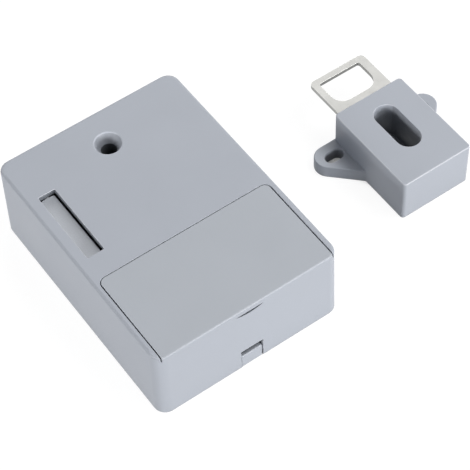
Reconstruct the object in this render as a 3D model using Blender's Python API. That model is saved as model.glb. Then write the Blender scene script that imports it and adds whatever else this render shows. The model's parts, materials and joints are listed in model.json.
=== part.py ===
# Electronic cabinet lock with its strike, as separate pieces.
# Frame: origin at the centre of the lock's base, +X to the strike, -Y to the battery end, +Z up.

import math

import bmesh
import bpy
from mathutils import Matrix, Vector

MM = 0.001
GAP = 0.3 * MM  # clearance kept between neighbouring pieces
WIRE_RADIUS = 0.3 * MM  # of every coil spring

# Lock case
HOUSING_LENGTH = 90.0 * MM
HOUSING_WIDTH = 66.6 * MM
HOUSING_HEIGHT = 29.3 * MM
HOUSING_DRAFT = 0.0117  # each side leans in by this share of the height
HOUSING_CORNER = 4.0 * MM
HOUSING_FILLET = 1.0 * MM
ROOF_UNDER = 27.3 * MM
INNER_X = 31.05 * MM  # half width inside the walls
INNER_Y = 42.8 * MM  # half length inside the walls
BASE_THICKNESS = 2.5 * MM
BASE_SCREW_SEAT = 1.6 * MM

# Battery compartment in the front half of the case
WELL_BACK = -11.1 * MM
WELL_WALL_BACK = -9.1 * MM
WELL_FLOOR = 15.6 * MM
WELL_FLOOR_UNDER = 14.4 * MM
DIVIDER_X = (19.8 * MM, 21.0 * MM)
CELL_RADIUS = 5.1 * MM
CELL_LENGTH = 44.5 * MM
CELL_NUB_RADIUS = 1.9 * MM
CELL_NUB_LENGTH = 1.0 * MM
CELL_AXIS_Z = 21.0 * MM
CELL_Y = (-37.3 * MM, -26.95 * MM, -16.6 * MM)
CONTACT_THICKNESS = 0.4 * MM
LEFT_CONTACT_X = -30.6 * MM
RIGHT_CONTACT_X = 19.0 * MM

# Battery cover
COVER_HALF_WIDTH = 30.68 * MM
COVER_BACK = -10.6 * MM
COVER_UNDER = 27.5 * MM
COVER_BACK_CORNER = 2.2 * MM
COVER_BACK_GAP = 0.2 * MM
COVER_FILLET = 0.5 * MM
TAB_X = 14.0 * MM
TAB_HALF = 2.5 * MM

# Slot for the strike tongue, and the ejector that floors it
SLOT_X = (-28.8 * MM, -22.8 * MM)
SLOT_Y = (-1.8 * MM, 26.2 * MM)
EJECTOR_X = (-28.5 * MM, -23.4 * MM)
EJECTOR_Y = (-1.5 * MM, 25.95 * MM)
EJECTOR_Z = (22.0 * MM, 27.3 * MM)
EJECTOR_SPRING_Y = (4.0 * MM, 20.2 * MM)

# Screw holes through the lock
MAIN_HOLE = (0.3 * MM, 31.6 * MM)
MAIN_HOLE_RADIUS = 2.58 * MM
COUNTERSINK_RADIUS = 4.33 * MM
COUNTERSINK_LIP = 4.75 * MM
COUNTERSINK_DEPTH = 3.5 * MM
SECOND_HOLE = (26.0 * MM, -34.5 * MM)
SECOND_HOLE_RADIUS = 2.2 * MM
BASE_BOSSES = ((-25.5 * MM, 37.5 * MM), (25.5 * MM, 37.5 * MM))
CHASSIS_BOSSES = ((-17.0 * MM, -0.5 * MM), (14.5 * MM, -0.5 * MM), (14.5 * MM, 22.4 * MM))

# Front window for the pry tab of the base plate
WINDOW_X = (-3.8 * MM, 4.2 * MM)
WINDOW_TOP = 8.1 * MM
PRY_TAB_X = (-3.7 * MM, 3.75 * MM)
PRY_TAB_TOP = 5.4 * MM
NICK_HALF = 5.0 * MM
NICK_DEPTH = 0.95 * MM
NICK_FALL = 0.45 * MM

# Board and set button
BOARD_Z = (4.5 * MM, 5.7 * MM)
BOARD_POSTS = ((-26.9 * MM, -24.0 * MM), (27.0 * MM, -25.8 * MM))
SET_BUTTON = (26.0 * MM, -18.0 * MM)
SET_BUTTON_RADIUS = 1.75 * MM

# Lock work: everything on this line moves along X above or below the screw axis
WORK_Y = 12.2 * MM
SCREW_AXIS_Z = 12.0 * MM
SCREW_CORE = 2.0 * MM
SCREW_OUTER = 3.2 * MM
SCREW_LEAD = 6.0 * MM
SCREW_X = (-12.5 * MM, 0.5 * MM)
FOLLOWER_X = -3.2 * MM
FLOOR_Z = (4.5 * MM, 6.0 * MM)
BOLT_Z = (17.2 * MM, 21.7 * MM)
BOLT_X = (-22.0 * MM, 4.7 * MM)
BOLT_HALF_WIDTH = 5.2 * MM
KEEPER_POSTS = ((-12.0 * MM, 3.4 * MM), (-12.0 * MM, 21.0 * MM))
GEARBOX_X = (4.0 * MM, 13.0 * MM)
MOTOR_X = (13.3 * MM, 27.6 * MM)
END_CAP_X = (27.9 * MM, 29.4 * MM)
LEVER_PIVOT = (5.6 * MM, 23.2 * MM)  # x and z of the switch lever's pivot

# Strike, in its own frame: origin below the middle of the block
STRIKE_PLACE = (83.53 * MM, -11.81 * MM, 0.0)
BLOCK_HALF_X = 13.48 * MM
BLOCK_HALF_Y = 18.16 * MM
BLOCK_HEIGHT = 17.16 * MM
BLOCK_CORNER = 1.2 * MM
BLOCK_FILLET = 0.35 * MM
BLOCK_WALL = 2.2 * MM
BLOCK_ROOF_UNDER = 15.2 * MM
STRIKE_WELL_HALF = 4.33 * MM
STRIKE_WELL_Y = (-7.3 * MM, 12.3 * MM)
STRIKE_WELL_WALL = 1.5 * MM
STRIKE_WELL_FLOOR = 3.0 * MM
TONGUE_HALF = 11.0 * MM
TONGUE_Z = (13.4 * MM, 14.9 * MM)
TONGUE_TIP = 35.3 * MM
TONGUE_WINDOW_X = (-8.5 * MM, 7.85 * MM)
TONGUE_WINDOW_Y = (21.9 * MM, 33.0 * MM)
EAR_HEIGHT = 4.8 * MM
EAR_TIP = (19.4 * MM, 13.45 * MM)
EAR_RADIUS = 4.7 * MM
EAR_SLOT = (17.6 * MM, 12.5 * MM)
EAR_SLOT_HALF_WIDTH = 2.0 * MM
EAR_SLOT_HALF_LENGTH = 3.4 * MM
RIGHT_EAR_SHIFT = -1.0 * MM  # the right ear stands further to the front
RIGHT_SLOT_INSET = 0.55 * MM  # and its slot closer to the block
TONGUE_SCREWS = ((-8.8 * MM, -4.0 * MM), (8.8 * MM, -4.0 * MM))

# Finishes: colour, roughness, metallic
FINISHES = {
    "grey_plastic": ((0.43, 0.46, 0.51), 0.5, 0.0),
    "ejector_plastic": ((0.38, 0.40, 0.44), 0.55, 0.0),
    "dark_plastic": ((0.05, 0.05, 0.055), 0.45, 0.0),
    "white_plastic": ((0.80, 0.80, 0.78), 0.5, 0.0),
    "stainless": ((0.74, 0.74, 0.72), 0.3, 1.0),
    "spring_wire": ((0.62, 0.62, 0.62), 0.3, 1.0),
    "zinc": ((0.55, 0.55, 0.56), 0.4, 1.0),
    "brass": ((0.72, 0.55, 0.25), 0.35, 1.0),
    "copper": ((0.72, 0.40, 0.22), 0.4, 1.0),
    "board_green": ((0.03, 0.20, 0.09), 0.4, 0.0),
    "cell_jacket": ((0.10, 0.16, 0.30), 0.35, 0.2),
    "red_lead": ((0.55, 0.04, 0.03), 0.5, 0.0),
    "black_lead": ((0.03, 0.03, 0.03), 0.5, 0.0),
}


# Helpers


def clear_scene():
    for thing in list(bpy.data.objects):
        bpy.data.objects.remove(thing, do_unlink=True)


def finish_material(name):
    found = bpy.data.materials.get(name)
    if found:
        return found
    colour, roughness, metallic = FINISHES[name]
    made = bpy.data.materials.new(name)
    made.use_nodes = True
    shader = made.node_tree.nodes["Principled BSDF"]
    shader.inputs["Base Color"].default_value = (*colour, 1.0)
    shader.inputs["Roughness"].default_value = roughness
    shader.inputs["Metallic"].default_value = metallic
    return made


def object_from(shape, name):
    mesh = bpy.data.meshes.new(name)
    bmesh.ops.recalc_face_normals(shape, faces=shape.faces)
    shape.to_mesh(mesh)
    shape.free()
    made = bpy.data.objects.new(name, mesh)
    bpy.context.collection.objects.link(made)
    return made


def loft(rings, name="loft"):
    """A closed solid through rings of equal point count, capped at both ends."""
    shape = bmesh.new()
    rows = [[shape.verts.new(point) for point in ring] for ring in rings]
    count = len(rows[0])
    for lower, upper in zip(rows, rows[1:]):
        for i in range(count):
            j = (i + 1) % count
            shape.faces.new((lower[i], lower[j], upper[j], upper[i]))
    shape.faces.new(list(reversed(rows[0])))
    shape.faces.new(rows[-1])
    return object_from(shape, name)


def prism(outline, low, high, axis="Z", name="prism"):
    """A flat outline drawn out along an axis; the outline's two numbers are the other axes, in order."""
    order = {"X": lambda a, b, c: (c, a, b), "Y": lambda a, b, c: (a, c, b), "Z": lambda a, b, c: (a, b, c)}
    place = order[axis]
    return loft([[place(a, b, level) for a, b in outline] for level in (low, high)], name)


def box(x, y, z, name="box"):
    return prism(((x[0], y[0]), (x[1], y[0]), (x[1], y[1]), (x[0], y[1])), z[0], z[1], "Z", name)


def about(middle, half):
    """A stretch of one axis, from its middle and half its length."""
    return (middle - half, middle + half)


def arc(centre, radius, start, end, steps):
    """Points on an arc, in degrees, both ends included."""
    angles = (math.radians(start + (end - start) * i / steps) for i in range(steps + 1))
    return [(centre[0] + radius * math.cos(a), centre[1] + radius * math.sin(a)) for a in angles]


def rounded_rectangle(half_x, half_y, radius, steps=5, centre=(0.0, 0.0)):
    points = []
    for quarter, (sign_x, sign_y) in enumerate(((1, 1), (-1, 1), (-1, -1), (1, -1))):
        corner = (centre[0] + sign_x * (half_x - radius), centre[1] + sign_y * (half_y - radius))
        points += arc(corner, radius, 90 * quarter, 90 * quarter + 90, steps)
    return points


def oblong(centre, half_length, half_width, along="X", steps=8):
    """An outline with two round ends."""
    reach = half_length - half_width
    if along == "X":
        return (arc((centre[0] + reach, centre[1]), half_width, -90, 90, steps)
                + arc((centre[0] - reach, centre[1]), half_width, 90, 270, steps))
    return (arc((centre[0], centre[1] + reach), half_width, 0, 180, steps)
            + arc((centre[0], centre[1] - reach), half_width, 180, 360, steps))


def circle(centre, radius, sides):
    return arc(centre, radius, 0, 360 - 360 / sides, sides - 1)


def cylinder(centre, radius, low, high, axis="Z", sides=16, name="cylinder"):
    return prism(circle(centre, radius, sides), low, high, axis, name)


def turned(profile, centre, sides=24, name="turned"):
    """A solid turned about a vertical line through centre; profile is (radius, height) from low to high."""
    rings = [[(x, y, height) for x, y in circle(centre, radius, sides)] for radius, height in profile]
    return loft(rings, name)


def combine(target, others, operation):
    """Booleans others into target one after the other and removes them."""
    for other in others:
        step = target.modifiers.new("step", "BOOLEAN")
        step.operation = operation
        step.solver = "EXACT"
        step.object = other
        depsgraph = bpy.context.evaluated_depsgraph_get()
        result = bpy.data.meshes.new_from_object(target.evaluated_get(depsgraph))
        target.modifiers.remove(step)
        target.data = result
        bpy.data.objects.remove(other, do_unlink=True)
    return target


def join(target, *others):
    return combine(target, others, "UNION")


def cut(target, *others):
    return combine(target, others, "DIFFERENCE")


def keep(target, *others):
    return combine(target, others, "INTERSECT")


def finish(piece, name, material, smooth=True, origin=(0.0, 0.0, 0.0), parent=None):
    """Names the piece, sets its origin and finish, and shades its round faces smooth."""
    piece.name = name
    piece.data.name = name
    piece.data.transform(Matrix.Translation(-Vector(origin)))
    piece.location = origin
    piece.parent = parent
    piece.data.materials.clear()
    piece.data.materials.append(finish_material(material))
    if smooth:
        piece.data.shade_smooth()
        piece.data.set_sharp_from_angle(angle=math.radians(35))
    return piece


def screw(name, place, direction, head_radius, length, parent=None, shank_radius=0.7 * MM):
    """A pan head screw with a cross recess: its head sits on place and its shank runs along direction."""
    head_height = 0.5 * head_radius
    recess = 0.55 * head_height
    body = turned(((0.85 * head_radius, -head_height), (head_radius, -0.6 * head_height), (head_radius, 0.0)),
                  (0.0, 0.0), 14)
    join(body, cylinder((0.0, 0.0), shank_radius, -0.2 * head_height, length, sides=8))
    arm = 0.55 * head_radius
    web = 0.16 * head_radius
    low = -1.5 * head_height
    cut(body, box((-arm, arm), (-web, web), (low, recess - head_height)))
    cut(body, box((-web, web), (-arm, arm), (low, recess - head_height)))
    if direction < 0:
        body.data.transform(Matrix.Rotation(math.pi, 4, "X"))
    finish(body, name, "zinc")
    body.location = place
    body.parent = parent
    return body


def wire(name, points, radius, material, resolution=1):
    """A round tube along points, with filled ends."""
    curve = bpy.data.curves.new(name, "CURVE")
    curve.dimensions = "3D"
    curve.bevel_depth = radius
    curve.bevel_resolution = resolution
    curve.use_fill_caps = True
    spline = curve.splines.new("POLY")
    spline.points.add(len(points) - 1)
    for knot, point in zip(spline.points, points):
        knot.co = (*point, 1.0)
    curve.materials.append(finish_material(material))
    made = bpy.data.objects.new(name, curve)
    bpy.context.collection.objects.link(made)
    return made


def smooth_route(knots, steps=4):
    """Points on a smooth curve through the knots."""
    ends = [knots[0], *knots, knots[-1]]
    points = []
    for before, here, there, after in zip(ends, ends[1:], ends[2:], ends[3:]):
        for i in range(steps):
            t = i / steps
            points.append(tuple(
                0.5 * (2 * b + (c - a) * t + (2 * a - 5 * b + 4 * c - d) * t * t
                       + (3 * b - a - 3 * c + d) * t ** 3)
                for a, b, c, d in zip(before, here, there, after)))
    points.append(tuple(knots[-1]))
    return points


def coil_spring(name, place, turns, height, radius_low, radius_high, wire_radius, direction=(0.0, 0.0, 1.0)):
    """A coil spring standing on place, wound in one unbroken wire; prints the least gap between its turns."""
    per_turn = 9
    count = int(turns * per_turn)
    low = wire_radius
    rise = height - 2 * wire_radius
    points = []
    for i in range(count + 1):
        share = i / count
        angle = 2 * math.pi * turns * share
        radius = radius_low + (radius_high - radius_low) * share
        points.append(Vector((radius * math.cos(angle), radius * math.sin(angle), low + rise * share)))
    least = min((points[i] - points[j]).length
                for i in range(count + 1) for j in range(i + per_turn - 2, count + 1))
    print(f"{name}: least gap between turns {(least - 2 * wire_radius) / MM:.2f} mm")
    made = wire(name, points, wire_radius, "spring_wire")
    made.rotation_mode = "QUATERNION"
    made.rotation_quaternion = Vector((0.0, 0.0, 1.0)).rotation_difference(Vector(direction))
    made.location = place
    return made


# Lock case


def case_solid(name="case", fillet=HOUSING_FILLET):
    """The outside of the lock: leaning walls, round corners and a small round along the top edge."""
    def ring(level, inset):
        outline = rounded_rectangle(HOUSING_WIDTH / 2 - inset, HOUSING_LENGTH / 2 - inset, HOUSING_CORNER, 6)
        return [(x, y, level) for x, y in outline]

    shoulder = HOUSING_HEIGHT - fillet
    lean = HOUSING_DRAFT * shoulder
    rings = [ring(0.0, 0.0), ring(shoulder, lean)]
    for angle in (30, 60, 90):
        turn = math.radians(angle)
        rings.append(ring(shoulder + fillet * math.sin(turn),
                          lean + fillet * (1 - math.cos(turn))))
    return loft(rings, name)


def cover_outline(half_width, back, corner, front):
    return ([(half_width, front)]
            + arc((half_width - corner, back - corner), corner, 0, 90, 5)
            + arc((-half_width + corner, back - corner), corner, 90, 180, 5)
            + [(-half_width, front)])


def build_housing():
    above = HOUSING_HEIGHT + 2 * MM
    below = -1 * MM
    case = case_solid()
    hollow = prism(((-INNER_Y, below), (INNER_Y, below), (INNER_Y, ROOF_UNDER), (WELL_WALL_BACK, ROOF_UNDER),
                    (WELL_WALL_BACK, WELL_FLOOR_UNDER), (-INNER_Y, WELL_FLOOR_UNDER)),
                   -INNER_X, INNER_X, "X")
    well = box((-INNER_X, INNER_X), (-INNER_Y, WELL_BACK), (WELL_FLOOR, ROOF_UNDER))
    seat = prism(cover_outline(INNER_X, COVER_BACK + COVER_BACK_GAP, COVER_BACK_CORNER + GAP, -HOUSING_LENGTH),
                 ROOF_UNDER, above)
    cut(case, hollow, well, seat)

    # Columns and bosses that hang from the roof and the floor of the well
    join(case, cylinder(MAIN_HOLE, 6.0 * MM, BASE_THICKNESS + GAP, ROOF_UNDER + 1 * MM, sides=24))
    join(case, cylinder(SECOND_HOLE, 3.8 * MM, BASE_THICKNESS + GAP, WELL_FLOOR - 0.4 * MM, sides=20))
    for place in BASE_BOSSES:
        join(case, cylinder(place, 3.0 * MM, BASE_THICKNESS + GAP, ROOF_UNDER + 1 * MM, sides=14))
    for place in CHASSIS_BOSSES:
        join(case, cylinder(place, 2.6 * MM, FLOOR_Z[1] + GAP, ROOF_UNDER + 1 * MM, sides=12))
    join(case, box(DIVIDER_X, (-INNER_Y - 1 * MM, WELL_BACK + 1 * MM), (WELL_FLOOR - 0.5 * MM, ROOF_UNDER)))
    join(case, cylinder(SET_BUTTON, 3.3 * MM, WELL_FLOOR - 0.5 * MM, WELL_FLOOR + 1.6 * MM, sides=18))

    # Screw holes
    lip = COUNTERSINK_LIP - COUNTERSINK_RADIUS
    top = HOUSING_HEIGHT
    cut(case, turned(((MAIN_HOLE_RADIUS, below), (MAIN_HOLE_RADIUS, top - COUNTERSINK_DEPTH),
                      (COUNTERSINK_RADIUS, top - lip), (COUNTERSINK_RADIUS + 0.3 * lip, top - 0.3 * lip),
                      (COUNTERSINK_LIP, top), (COUNTERSINK_LIP + 1 * MM, top + 1 * MM)), MAIN_HOLE, 32))
    cut(case, turned(((SECOND_HOLE_RADIUS, below), (SECOND_HOLE_RADIUS, WELL_FLOOR - 1.8 * MM),
                      (3.4 * MM, WELL_FLOOR), (3.8 * MM, WELL_FLOOR + 1 * MM)), SECOND_HOLE, 20))
    for place in BASE_BOSSES:
        cut(case, cylinder(place, 1.0 * MM, BASE_THICKNESS - 1 * MM, 13 * MM, sides=8))
    for place in CHASSIS_BOSSES:
        cut(case, cylinder(place, 1.0 * MM, FLOOR_Z[1] - 1 * MM, 15 * MM, sides=8))
    button_hole = SET_BUTTON_RADIUS + GAP
    cut(case, cylinder(SET_BUTTON, button_hole, WELL_FLOOR_UNDER - 1 * MM, WELL_FLOOR + 3 * MM, sides=14))

    # Slot for the tongue, notches for the cover's tabs, slits for the contacts' tails
    slot_centre = (sum(SLOT_X) / 2, sum(SLOT_Y) / 2)
    slot_half = ((SLOT_X[1] - SLOT_X[0]) / 2, (SLOT_Y[1] - SLOT_Y[0]) / 2)
    cut(case, prism(rounded_rectangle(*slot_half, 0.4 * MM, 2, slot_centre), ROOF_UNDER - 1 * MM, above))
    for side in (-1, 1):
        notch = sorted((side * (TAB_X - TAB_HALF - 0.5 * MM), side * (TAB_X + TAB_HALF + 0.5 * MM)))
        cut(case, box(notch, (WELL_BACK - 1 * MM, WELL_WALL_BACK + 1 * MM), (24.4 * MM, ROOF_UNDER)))
    for x, y in ((LEFT_CONTACT_X, CELL_Y[0]), (RIGHT_CONTACT_X, CELL_Y[2])):
        slit = (x - 0.35 * MM, x + CONTACT_THICKNESS + 0.35 * MM)
        cut(case, box(slit, about(y, 1.8 * MM), (WELL_FLOOR_UNDER - 1 * MM, WELL_FLOOR + 0.5 * MM)))

    # Pry window at the foot of the front wall, and the thumb nick under the cover, falling away inwards
    front = -HOUSING_LENGTH / 2
    cut(case, box(WINDOW_X, (front - 1 * MM, -INNER_Y + 1 * MM), (below, WINDOW_TOP)))
    nick_radius = (NICK_HALF ** 2 + NICK_DEPTH ** 2) / (2 * NICK_DEPTH)
    half_angle = math.degrees(math.asin(NICK_HALF / nick_radius))
    nick_centre = (0.0, ROOF_UNDER - NICK_DEPTH + nick_radius)
    nick = arc(nick_centre, nick_radius, 270 - half_angle, 270 + half_angle, 10)
    nick += [(NICK_HALF, ROOF_UNDER + 1 * MM), (-NICK_HALF, ROOF_UNDER + 1 * MM)]
    steps = ((front - 1 * MM, 0.0), (front + 0.3 * MM, 0.0), (front + 1.5 * MM, NICK_FALL))
    cut(case, loft([[(x, y, z - fall) for x, z in nick] for y, fall in steps]))
    return finish(case, "housing", "grey_plastic")


def build_cover():
    """The lid is cut from the housing's outside with a crisper edge, so its front runs flush with it."""
    lid = case_solid("lid", COVER_FILLET)
    keep(lid, prism(cover_outline(COVER_HALF_WIDTH, COVER_BACK, COVER_BACK_CORNER, -HOUSING_LENGTH),
                    COVER_UNDER, HOUSING_HEIGHT + 1 * MM))
    rib_top = COVER_UNDER + 0.6 * MM
    join(lid, box((-15 * MM, 15 * MM), (-42.2 * MM, -41.2 * MM), (25.4 * MM, rib_top)))
    for side in (-1, 1):
        tab_x = sorted((side * (TAB_X - TAB_HALF), side * (TAB_X + TAB_HALF)))
        tab = prism(((-12.6 * MM, rib_top), (-12.6 * MM, 25.6 * MM), (-8.2 * MM, 25.6 * MM),
                     (-8.2 * MM, ROOF_UNDER - GAP), (-11.4 * MM, ROOF_UNDER - GAP), (-11.4 * MM, rib_top)),
                    tab_x[0], tab_x[1], "X")
        join(lid, tab)
    return finish(lid, "battery_cover", "grey_plastic", origin=(0.0, COVER_BACK, HOUSING_HEIGHT))


def build_base_plate():
    top = BASE_THICKNESS
    below = -1 * MM
    plate = prism(rounded_rectangle(INNER_X - GAP, INNER_Y - GAP, 1.2 * MM, 2), 0.0, top)
    # Tab that fills the window of the front wall, where the plate is pried off
    root = -INNER_Y + 2 * MM
    face = -HOUSING_LENGTH / 2 + 0.15 * MM
    inside = face + 1.45 * MM
    lip = 0.25 * MM
    tab = prism(((root, 0.0), (root, top - 0.4 * MM), (inside, top - 0.4 * MM), (inside, PRY_TAB_TOP),
                 (face + lip, PRY_TAB_TOP), (face, PRY_TAB_TOP - lip), (face, 0.0)), *PRY_TAB_X, "X")
    join(plate, tab)
    for y in EJECTOR_SPRING_Y:
        join(plate, cylinder((sum(EJECTOR_X) / 2, y), 0.9 * MM, top - 0.5 * MM, top + 2.5 * MM, sides=10))
    for place in BOARD_POSTS:
        join(plate, cylinder(place, 1.9 * MM, top - 0.5 * MM, BOARD_Z[0] - GAP, sides=12))
        cut(plate, cylinder(place, 1.0 * MM, 1.0 * MM, BOARD_Z[0] + 1 * MM, sides=8))
    cut(plate, cylinder(MAIN_HOLE, MAIN_HOLE_RADIUS, below, top + 1 * MM, sides=24))
    cut(plate, cylinder(SECOND_HOLE, SECOND_HOLE_RADIUS, below, top + 1 * MM, sides=20))
    for place in BASE_BOSSES:
        cut(plate, cylinder(place, 3.0 * MM, below, BASE_SCREW_SEAT, sides=16))
        cut(plate, cylinder(place, 1.1 * MM, below, top + 1 * MM, sides=10))
    return finish(plate, "base_plate", "grey_plastic")


# Batteries and their contacts


def build_cell(name, y, tip_right):
    shoulder = CELL_LENGTH - CELL_NUB_LENGTH
    round_edge = 0.4 * MM
    end_radius = CELL_RADIUS - round_edge
    body = turned(((end_radius, 0.0), (CELL_RADIUS, round_edge), (CELL_RADIUS, shoulder - round_edge),
                   (end_radius, shoulder), (CELL_NUB_RADIUS, shoulder + 0.01 * MM),
                   (CELL_NUB_RADIUS, CELL_LENGTH)), (0.0, 0.0), 20)
    turn = math.pi / 2 if tip_right else -math.pi / 2
    body.data.transform(Matrix.Rotation(turn, 4, "Y"))
    finish(body, name, "cell_jacket")
    reach = RIGHT_CONTACT_X - GAP if tip_right else LEFT_CONTACT_X + CONTACT_THICKNESS + GAP
    start = reach - CELL_LENGTH if tip_right else reach + CELL_LENGTH
    body.location = (start, y, CELL_AXIS_Z)
    return body


def build_contact(name, x, low_y, high_y, tail_y=None):
    """A spring plate standing at the end of one cell or across two, with a solder tail on the outer ones."""
    foot = WELL_FLOOR + GAP
    plate = prism(rounded_rectangle((high_y - low_y) / 2, 4.4 * MM, 0.8 * MM, 2,
                                    ((low_y + high_y) / 2, foot + 4.4 * MM)),
                  x, x + CONTACT_THICKNESS, "X")
    if tail_y is not None:
        join(plate, box((x, x + CONTACT_THICKNESS), about(tail_y, 1.2 * MM),
                        (12.4 * MM, foot + 2 * MM)))
    return finish(plate, name, "stainless", smooth=False)


def build_batteries():
    for name, y, tip_right in zip(("front", "middle", "back"), CELL_Y, (True, False, True)):
        build_cell(f"battery_cell_{name}", y, tip_right)
        spring_room = RIGHT_CONTACT_X - LEFT_CONTACT_X - CONTACT_THICKNESS - 2 * GAP - CELL_LENGTH
        height = spring_room - GAP
        start = LEFT_CONTACT_X + CONTACT_THICKNESS + GAP if tip_right else RIGHT_CONTACT_X - GAP
        direction = (1.0, 0.0, 0.0) if tip_right else (-1.0, 0.0, 0.0)
        coil_spring(f"battery_spring_{name}", (start, y, CELL_AXIS_Z), 3.0, height,
                    3.5 * MM, 2.2 * MM, WIRE_RADIUS, direction)
    reach = 4.2 * MM
    build_contact("contact_negative", LEFT_CONTACT_X, CELL_Y[0] - reach, CELL_Y[0] + reach, CELL_Y[0])
    build_contact("contact_bridge_left", LEFT_CONTACT_X, CELL_Y[1] - reach, CELL_Y[2] + reach)
    build_contact("contact_bridge_right", RIGHT_CONTACT_X, CELL_Y[0] - reach, CELL_Y[1] + reach)
    build_contact("contact_positive", RIGHT_CONTACT_X, CELL_Y[2] - reach, CELL_Y[2] + reach, CELL_Y[2])


# Board


def build_board():
    outline = ((-29.0, -41.5), (21.0, -41.5), (21.0, -29.0), (30.0, -29.0), (30.0, -6.5), (-29.0, -6.5))
    board = prism([(x * MM, y * MM) for x, y in outline], BOARD_Z[0], BOARD_Z[1])
    for place in BOARD_POSTS:
        cut(board, cylinder(place, 1.2 * MM, BOARD_Z[0] - 1 * MM, BOARD_Z[1] + 1 * MM, sides=10))
    finish(board, "main_board", "board_green", smooth=False)
    for side, place in zip(("left", "right"), BOARD_POSTS):
        screw(f"board_screw_{side}", (*place, BOARD_Z[1] + GAP), -1, 1.9 * MM, 4.0 * MM)

    on_board = BOARD_Z[1] + GAP
    chips = (("controller_chip", -5.0, -30.0, 3.5), ("reader_chip", -17.0, -16.0, 2.5))
    for name, x, y, half in chips:
        chip = prism(rounded_rectangle(half * MM, half * MM, 0.5 * MM, 1, (x * MM, y * MM)),
                     on_board, on_board + 1.2 * MM)
        finish(chip, name, "dark_plastic", smooth=False)
    finish(turned(((4.6 * MM, on_board), (4.6 * MM, on_board + 4.0 * MM), (4.2 * MM, on_board + 4.4 * MM)),
                  (-19.0 * MM, -33.0 * MM), 20), "buzzer", "dark_plastic")
    finish(turned(((2.5 * MM, on_board), (2.5 * MM, on_board + 7.2 * MM), (2.2 * MM, on_board + 7.6 * MM)),
                  (10.0 * MM, -36.0 * MM), 16), "capacitor", "cell_jacket")
    plug = box((-1.0 * MM, 12.0 * MM), (-14.0 * MM, -9.0 * MM), (on_board, on_board + 5.0 * MM))
    finish(plug, "lead_connector", "white_plastic", smooth=False)

    # Flat coil of the card reader, lying on the base plate
    centre = (-3.0 * MM, -24.5 * MM)
    low = BASE_THICKNESS + GAP
    coil = prism(rounded_rectangle(20.0 * MM, 14.5 * MM, 4.0 * MM, 4, centre), low, low + 0.6 * MM)
    cut(coil, prism(rounded_rectangle(16.5 * MM, 11.0 * MM, 2.0 * MM, 4, centre), low - 1 * MM, low + 2 * MM))
    finish(coil, "antenna_coil", "copper", smooth=False)

    # Set switch on the board, and the button that reaches it through the floor of the well
    x, y = SET_BUTTON
    half = 3.0 * MM
    switch = box(about(x, half), about(y, half), (on_board, on_board + 2.6 * MM))
    join(switch, cylinder(SET_BUTTON, 1.6 * MM, on_board + 2 * MM, on_board + 3.4 * MM, sides=14))
    finish(switch, "set_switch", "dark_plastic")
    foot = on_board + 4.2 * MM
    button = turned(((SET_BUTTON_RADIUS + 0.8 * MM, foot), (SET_BUTTON_RADIUS + 0.8 * MM, foot + 1.2 * MM),
                     (SET_BUTTON_RADIUS, foot + 1.21 * MM), (SET_BUTTON_RADIUS, 16.6 * MM),
                     (SET_BUTTON_RADIUS - 0.3 * MM, 16.9 * MM)), SET_BUTTON, 14)
    finish(button, "set_button", "dark_plastic", origin=(x, y, foot))


# Lock work


def build_ejector():
    bar_centre = (sum(EJECTOR_X) / 2, sum(EJECTOR_Y) / 2)
    half = ((EJECTOR_X[1] - EJECTOR_X[0]) / 2, (EJECTOR_Y[1] - EJECTOR_Y[0]) / 2)
    bar = prism(rounded_rectangle(*half, 0.8 * MM, 3, bar_centre), *EJECTOR_Z)
    lug_x = about(bar_centre[0], 0.8 * MM)
    join(bar, box(lug_x, (EJECTOR_Y[0] - 0.8 * MM, EJECTOR_Y[1] + 0.8 * MM),
                  (EJECTOR_Z[0] + 0.5 * MM, EJECTOR_Z[1] - GAP)))
    finish(bar, "ejector", "ejector_plastic", origin=(*bar_centre, EJECTOR_Z[0]))
    spring_low = BASE_THICKNESS + GAP
    spring_height = EJECTOR_Z[0] - GAP - spring_low
    for name, y in zip(("near", "far"), EJECTOR_SPRING_Y):
        coil_spring(f"ejector_spring_{name}", (bar_centre[0], y, spring_low), 7.0, spring_height,
                    1.65 * MM, 1.65 * MM, WIRE_RADIUS)


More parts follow.
